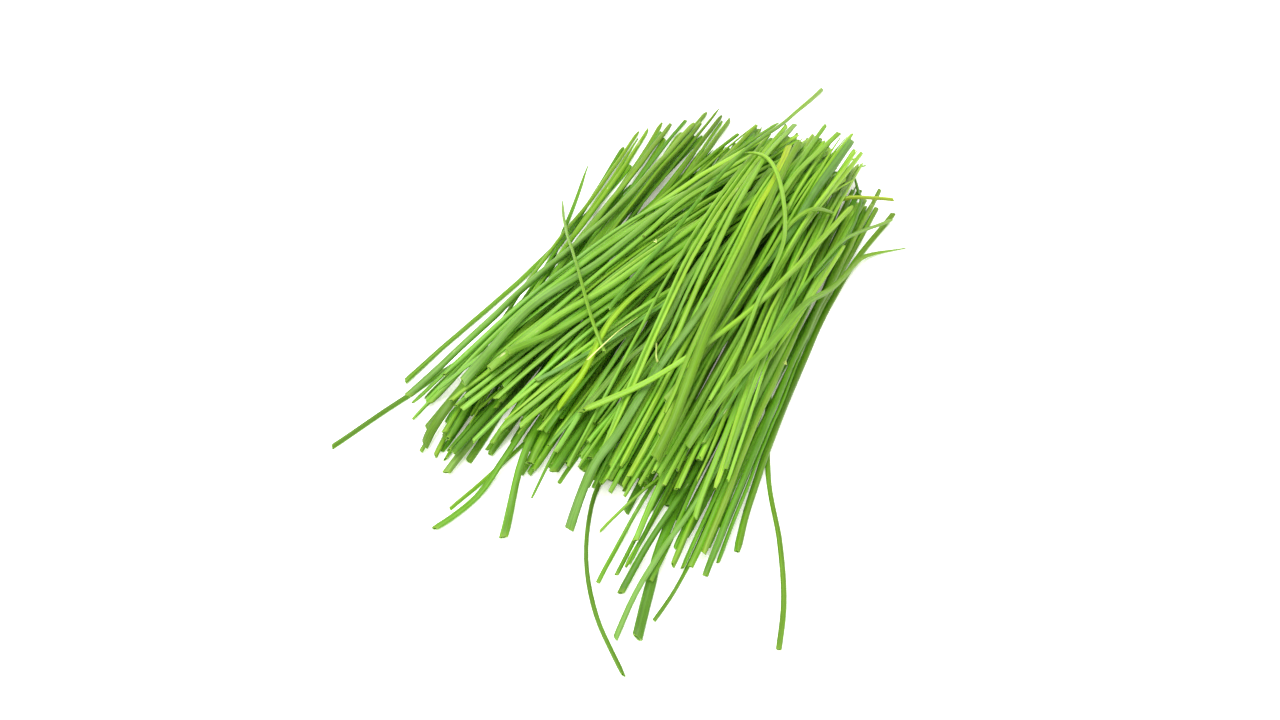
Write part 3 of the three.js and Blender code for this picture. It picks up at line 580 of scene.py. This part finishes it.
# The frame's origin is the middle of the bunch's footprint. The corners of the first leaf's solid
# lie evenly round its path, so they show where that is.
FIRST_PATH = [(48, -99), (35, -89), (25, -78), (17, -64), (12, -48), (11, -20), (12, 24)]
corners = np.array([v.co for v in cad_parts["leaf_front_curved"].data.vertices])
corners = np.unique(corners.round(7), axis=0)
origin = np.append(corners.mean(0)[:2] - np.mean(FIRST_PATH, 0) * MM, 0)

skins["deep_green"] = leaf_skin("deep_green", "#3e6c0e", "#547810", "#5c7c16", bloom=0.05)
skins["mid_green"] = leaf_skin("mid_green", "#4a7a14", "#648a1a", "#6e9020", bloom=0.08)
skins["blue_green"] = leaf_skin("blue_green", "#4e7c2e", "#648630", "#6c8a2a", bloom=0.14)

lay_leaf("leaf_front_curved", "deep_green", 0.95, FIRST_PATH)
lay_leaf("leaf_right_curved", "deep_green", 1.05,
         [(81, -73), (76, -58), (67, -41), (55, -22), (44, 2), (34, 30), (27, 58)])
lay_leaf("leaf_left_long", "deep_green", 0.95,
         [(-66, -75), (-54, -38), (-45, -8), (-42, 26), (-41, 66)])
lay_leaf("leaf_left_second", "mid_green", 1.05,
         [(-61, -44), (-58, -23), (-54, 0), (-51, 22), (-48, 53), (-47, 81)])
lay_leaf("leaf_left_thin", "mid_green", 0.6,
         [(-52, -46), (-50, -34), (-47, -8), (-43, 30), (-41, 70)])
lay_leaf("leaf_far_thin", "mid_green", 0.8,
         [(-36, -22), (-42, 4), (-47, 26), (-54, 50), (-61, 74)], grown=True)
lay_leaf("leaf_left_slim", "mid_green", 0.8,
         [(-22, -77), (-18, -60), (-12, -30), (-5, 4), (1, 38), (6, 66)])


# ---- The base ----
# The lowest layer of the bunch: leaves that fell close together, in sheaves, with a few thick
# ones at its edges. All rest on the surface or on the leaves beside them.

LEAF_LENGTH = 158  # usual length from cut to cut, in mm
LENGTH_SPREAD = 0.09
LEAF_RADIUS = 0.85  # usual radius at the thick end of a leaf near the top
RADIUS_SPREAD = 0.42
BOW = 2  # how far a leaf may bow sideways from straight
GROWN_SHARE = 0.15  # share of the leaves that still have the tip they grew
REVERSED_SHARE = 0.12  # share of the leaves that lie the other way round
LEAF_POINTS = 5
SLIDE = 0.5  # share of a push that moves a leaf of a sheaf sideways
GOLDEN_SHARE = (math.sqrt(5) - 1) / 2  # spreads leaves evenly across a width, in mixed order

seed = 30  # of all random draws below, in this order


def random():
    global seed
    seed = (seed * 1664525 + 1013904223) % 2 ** 32
    return seed / 2 ** 32


def jitter():
    return random() + random() - 1


def lay_sheaf(node, slot, count, at, heading, width, spread, ragged, radius=LEAF_RADIUS, slant=0.0,
              skin=None):
    """Lays leaves along one heading, clockwise from +Y, with their middles across a width."""
    turn = math.radians(heading)
    turned = np.array([[math.cos(turn), -math.sin(turn)], [math.sin(turn), math.cos(turn)]])
    leaves = []
    for index in range(count):
        across = (((index + 1) * GOLDEN_SHARE) % 1 - 0.5) * width
        along = ragged * jitter() + slant * across
        own = turn + math.radians(spread) * jitter()
        length = LEAF_LENGTH * (1 + LENGTH_SPREAD * jitter())
        bow = BOW * jitter()
        thick = radius * (1 + RADIUS_SPREAD * jitter())
        grown = random() < GROWN_SHARE
        is_reversed = random() < REVERSED_SHARE
        middle = at + np.array([across, along]) @ turned
        t = np.linspace(-1, 1, LEAF_POINTS)
        forward, aside = t * length / 2, bow * (1 - t * t)
        path = middle + np.outer(forward, [math.sin(own), math.cos(own)])
        path += np.outer(aside, [math.cos(own), -math.sin(own)])
        if is_reversed:
            path = path[::-1]
        radii = radii_along(LEAF_POINTS, thick, GROWN_TIP if grown else CUT_TIP)
        leaves.append((lay_down(path, radii, SLIDE), radii, grown))
    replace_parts(bend_leaves(node + "_fine", slot, leaves, skins[skin or slot]), node)


lay_sheaf("sheaf_base_left", "deep_green", 8, (-26, 24), -4, width=30, spread=2, ragged=8, radius=1.15)
lay_sheaf("sheaf_base_right", "deep_green", 9, (24, 31), -4, width=34, spread=2, ragged=8, radius=1.15)
lay_leaf("leaf_right_edge", "deep_green", 1.5,
         [(58, -51), (54, -31), (50, -5), (46, 30), (45, 51), (45, 73), (48, 102)])
lay_leaf("leaf_front_wide", "deep_green", 1.9,
         [(46, -88), (42, -74), (38, -55), (35, -20), (35, 20), (38, 56)])
lay_leaf("leaf_front_fine", "deep_green", 0.7,
         [(47, -81), (48, -68), (47, -52), (44, -20), (40, 14), (38, 46)])
lay_leaf("leaf_left_low", "blue_green", 1.5,
         [(-29, -68), (-28, -50), (-26, -20), (-24, 20), (-22, 60), (-21, 84)])
lay_sheaf("sheaf_base_middle", "mid_green", 9, (3, 32), -2, width=26, spread=3, ragged=8, radius=1.15)
lay_sheaf("sheaf_right_flank", "deep_green", 6, (42, 28), -6, width=9, spread=2, ragged=8, radius=1.05)


# ---- The front and the left flank ----
# Sheaves that reach further forward than the rest, and to the left, with the leaves that stick
# out between them.

lay_leaf("leaf_front_dark", "deep_green", 1.2,
         [(35, -78), (36, -64), (37, -48), (36, -16), (33, 18), (30, 50)])
lay_sheaf("sheaf_front_right", "mid_green", 11, (37, 13), -5,
          width=24, spread=3, ragged=7, radius=0.95, slant=0.5)
lay_leaf("leaf_front_second", "blue_green", 1.1,
         [(41, -91), (40, -78), (41, -64), (43, -46), (44, -12), (43, 24), (41, 56)])
lay_leaf("leaf_front_slim", "mid_green", 0.8,
         [(28, -78), (27, -64), (28, -42), (30, -8), (31, 28), (31, 64)])
lay_sheaf("sheaf_front_left", "deep_green", 7, (-31, 20), 3,
          width=18, spread=3, ragged=7, radius=1.1, slant=-0.3)
lay_leaf("leaf_front_low_curve", "mid_green", 1.3,
         [(-22, -85), (-19, -77), (-17, -68), (-16, -56), (-16, -38), (-15, -10), (-13, 20), (-12, 52)])
lay_sheaf("sheaf_far_left", "mid_green", 8, (-41, 22), -6,
          width=14, spread=2, ragged=6, radius=1, slant=1.2)
lay_leaf("leaf_left_thick", "deep_green", 1.75,
         [(-40, -63), (-37, -52), (-35, -14), (-34, 20), (-34, 50), (-35, 84)])


# ---- The middle ----
# The thick of the bunch, which is mostly hidden, and the leaves that hang out of its front.

skins["light_green"] = leaf_skin("light_green", "#669428", "#749a24", "#7ea22a")

lay_sheaf("sheaf_middle_left", "mid_green", 9, (-8, 28), -2, width=32, spread=3, ragged=8, radius=1.15)
lay_sheaf("sheaf_middle_right", "mid_green", 10, (12, 36), -4, width=28, spread=3, ragged=8, radius=1.15)
lay_leaf("leaf_hooked", "deep_green", 0.6,
         [(41, 40), (42, 69), (38, 92), (34, 102), (28, 113)], grown=True)
lay_leaf("leaf_front_thick", "mid_green", 1.45,
         [(-3, -78), (-7, -66), (-10, -54), (-13, -38), (-14, -8), (-12, 30), (-8, 66)])
lay_leaf("leaf_front_thin", "mid_green", 0.65,
         [(-1, -65), (-3, -46), (-5, -20), (-5, 12), (-3, 44), (0, 72)])
lay_leaf("leaf_front_crossing", "light_green", 0.6,
         [(20, -63), (27, -48), (36, -26), (42, 0), (44, 30), (43, 62)])
lay_leaf("leaf_front_lime", "light_green", 1.1,
         [(33, -65), (31, -49), (30, -34), (29, -4), (26, 30), (24, 64)])


# ---- The upper layer ----
# Leaves that show along most of their length. They cross each other at small angles, and most
# of them lean to the right. The thin ones at the far end have begun to wilt and turn yellow.

skins["yellow_green"] = leaf_skin("yellow_green", "#7aa014", "#8ea216", "#6a9024", bloom=0.05,
                                  changes=(20, 65))
skins["wilting"] = leaf_skin("wilting", "#769620", "#889c20", "#98a028", bloom=0.05)
skins["fresh_green"] = leaf_skin("fresh_green", "#609232", "#7ca228", "#80a42c", bloom=0.15)

lay_sheaf("sheaf_upper_far", "deep_green", 11, (-20, 38), -3, width=34, spread=4, ragged=9)
lay_sheaf("sheaf_upper_middle", "blue_green", 20, (5, 34), 3, width=34, spread=4, ragged=10,
         skin="fresh_green")
lay_leaf("leaf_yellow_curved", "yellow_green", 0.75,
         [(4, 6), (12, 42), (21, 76), (28, 86), (34, 90), (48, 99)], skin="wilting")
lay_leaf("leaf_wilted_green", "mid_green", 0.8,
         [(25, 34), (22, 64), (22, 87), (25, 110), (30, 122)], grown=True)
lay_leaf("leaf_wilted_yellow", "yellow_green", 0.5,
         [(33, 52), (30, 83), (27, 95), (24, 112), (25, 124)], grown=True, skin="wilting")
lay_sheaf("sheaf_upper_left", "mid_green", 15, (-12, 32), 8, width=30, spread=5, ragged=10)
lay_sheaf("sheaf_upper_right", "light_green", 16, (27, 33), -7, width=30, spread=4, ragged=8)
lay_sheaf("sheaf_diagonal", "blue_green", 18, (-8, 26), 18, width=38, spread=3, ragged=10,
         skin="fresh_green")
lay_leaf("leaf_left_blue", "blue_green", 1.4,
         [(-54, -51), (-47, -26), (-42, 6), (-36, 32), (-33, 61), (-33, 105)])
lay_leaf("leaf_left_pale", "blue_green", 1.6,
         [(-35, -47), (-32, -13), (-23, 10), (-15, 39), (-4, 81)])
lay_leaf("leaf_left_bright", "light_green", 1.05,
         [(-30, -40), (-24, -9), (-16, 20), (-9, 53), (0, 81)])
lay_leaf("leaf_left_blunt", "light_green", 1.5,
         [(-29, -41), (-22, -17), (-12, 4), (-3, 30), (5, 66)])
lay_leaf("leaf_diagonal", "mid_green", 1.3,
         [(-26, -35), (-18, -18), (-9, 3), (1, 33), (8, 66)])
lay_leaf("leaf_middle_slim", "blue_green", 0.85,
         [(-16, -36), (-7, -22), (1, -2), (8, 19), (14, 54), (20, 82)])
lay_leaf("leaf_middle_blue", "blue_green", 1.2,
         [(0, -38), (2, -13), (7, 0), (8, 18), (8, 44), (9, 78)])
lay_leaf("leaf_yellow_top", "yellow_green", 1.35,
         [(-7, -39), (-4, -28), (-5, -8), (-2, 14), (4, 34), (10, 55), (14, 86)])
lay_sheaf("sheaf_top", "light_green", 20, (18, 28), -2, width=32, spread=6, ragged=8)


# ---- The strays on top ----
# The last leaves to fall. Each crosses the others its own way, and one is bent over in an arch.

lay_leaf("leaf_wide_pale", "blue_green", 1.8,
         [(13, -68), (13, -54), (14, -41), (14, -20), (16, 2), (19, 29), (22, 62)], Roundest=0.6)
lay_leaf("leaf_right_lime", "light_green", 1.1,
         [(22, 108), (19, 83), (19, 63), (21, 41), (22, 22), (23, -8), (25, -36)])
lay_leaf("leaf_right_pale", "blue_green", 1.6,
         [(27, 108), (27, 77), (27, 52), (25, 30), (25, 5), (22, -26)])
lay_leaf("leaf_right_thin", "mid_green", 0.65,
         [(38, -34), (41, 1), (40, 23), (41, 45), (43, 65), (49, 97)])
lay_leaf("leaf_right_bent", "mid_green", 0.75,
         [(24, -26), (26, 13), (26, 36), (26, 53), (30, 62), (34, 74)])
lay_leaf("leaf_right_arc", "mid_green", 1.5,
         [(34, -36), (37, -19), (42, -2), (45, 19), (47, 46), (47, 75), (58, 88)], grown=True)
lay_leaf("leaf_crossing_pale", "light_green", 1.15,
         [(1, -38), (13, -25), (23, -12), (32, 18), (36, 50), (37, 86)])
lay_leaf("leaf_yellow_narrow", "yellow_green", 1.3,
         [(9, 94), (14, 69), (15, 51), (17, 36), (22, -2), (26, -34)])
lay_leaf("leaf_middle_wide", "light_green", 1.85,
         [(29, -46), (29, -33), (25, -6), (21, 30), (14, 89)], skin="deep_green", Roundest=0.7)
lay_leaf("leaf_arched", "light_green", 0.8,
         [(35, -24), (34, 0), (32, 16), (30, 31), (27, 47), (20, 60), (11, 71), (3, 77),
          (-4, 79)], grown=True)
lay_leaf("leaf_crossing_thin", "mid_green", 0.65,
         [(-1, -21), (-10, -13), (-25, 5), (-44, 29), (-60, 53)], grown=True)
lay_leaf("leaf_far_stray", "mid_green", 0.8,
         [(-8, -6), (-4, 32), (-1, 72), (0, 112), (-2, 156)])


# ---- Shreds ----
# Scraps that came with the leaves: a strand of dried sheath, a curl of split leaf, and crumbs
# of the papery bulb skin. They lie loose on top of the bunch.

dried = leaf_skin("dried", "#bcc870", "#c8d07c", "#b4c064", bloom=0)
SHREDS = [  # radius and path in plan, in mm: the strand, the curl and three crumbs
    (0.24, [(0.6, -2.4), (-0.9, -14.0), (-2.9, -27.5)]),
    (0.25, [(10.6, -9.7), (11.7, -11.8), (14.5, -15.8)]),
    (0.45, [(46.0, 5.4), (46.6, 6.4)]),
    (0.4, [(-10.0, 28.0), (-9.1, 28.6)]),
    (0.35, [(-13.7, 27.7), (-13.1, 28.1)]),
]
scraps = []
for radius, path in SHREDS:
    radii = np.full(len(path), radius)
    laid = lay_down(path, np.maximum(THINNEST_RADIUS, radii))
    scraps.append((laid, radii, False))
bend_leaves("dried_shreds", "yellow_green", scraps, dried, Flattest=0.2, Roundest=0.5, Slant=0.0)

bpy.data.meshes.remove(pattern.data)


# ---- Floor, light and camera ----
# A matt white board that fills the view and glows a little, which keeps the shadows on it pale.
# Round it are a white room and one broad soft lamp. Sizes and places are in metres.

BOARD_REACH = 3
BOARD_TOP = -0.0001  # just under the leaves
BOARD_GLOW = 0.25
ROOM_STRENGTH = 1.05
LAMP_SIZE, LAMP_WATTS, LAMP_PLACE = 0.7, 16, (-0.05, -0.25, 0.95)
LENS = 35  # mm
AZIMUTH, ELEVATION, DISTANCE = math.radians(28), math.radians(50), 0.4

board = bpy.data.meshes.new("white_board")
board_corners = ((-1, -1), (1, -1), (1, 1), (-1, 1))
board.from_pydata([(x * BOARD_REACH, y * BOARD_REACH, BOARD_TOP) for x, y in board_corners], [],
                  [(0, 1, 2, 3)])
floor = bpy.data.objects.new("white_board", board)
bpy.context.scene.collection.objects.link(floor)
paint = bpy.data.materials.new("matt_white_paint")
paint.use_nodes = True
shader = paint.node_tree.nodes["Principled BSDF"].inputs
shader["Base Color"].default_value = linear("#f6f6f4")
shader["Roughness"].default_value = 0.7
shader["Emission Color"].default_value = linear("#fff4e8")
shader["Emission Strength"].default_value = BOARD_GLOW
board.materials.append(paint)

room = bpy.data.worlds.new("white_room")
bpy.context.scene.world = room
room.use_nodes = True
light = room.node_tree.nodes["Background"].inputs
light["Color"].default_value = linear("#ffffff")
light["Strength"].default_value = ROOM_STRENGTH

lamp = bpy.data.lights.new("soft_lamp", "AREA")
lamp.size = LAMP_SIZE
lamp.energy = LAMP_WATTS
soft_lamp = bpy.data.objects.new("soft_lamp", lamp)
soft_lamp.location = LAMP_PLACE
soft_lamp.rotation_euler = Vector(soft_lamp.location).to_track_quat("Z", "Y").to_euler()
bpy.context.scene.collection.objects.link(soft_lamp)

back = Vector((math.sin(AZIMUTH) * math.cos(ELEVATION), -math.cos(AZIMUTH) * math.cos(ELEVATION),
               math.sin(ELEVATION)))
camera = bpy.data.objects.new("camera", bpy.data.cameras.new("camera"))
camera.data.lens = LENS
camera.location = Vector(origin) + back * DISTANCE
camera.rotation_euler = back.to_track_quat("Z", "Y").to_euler()
bpy.context.scene.collection.objects.link(camera)
bpy.context.scene.camera = camera
bpy.context.scene.view_settings.view_transform = "Standard"

bpy.context.view_layer.update()
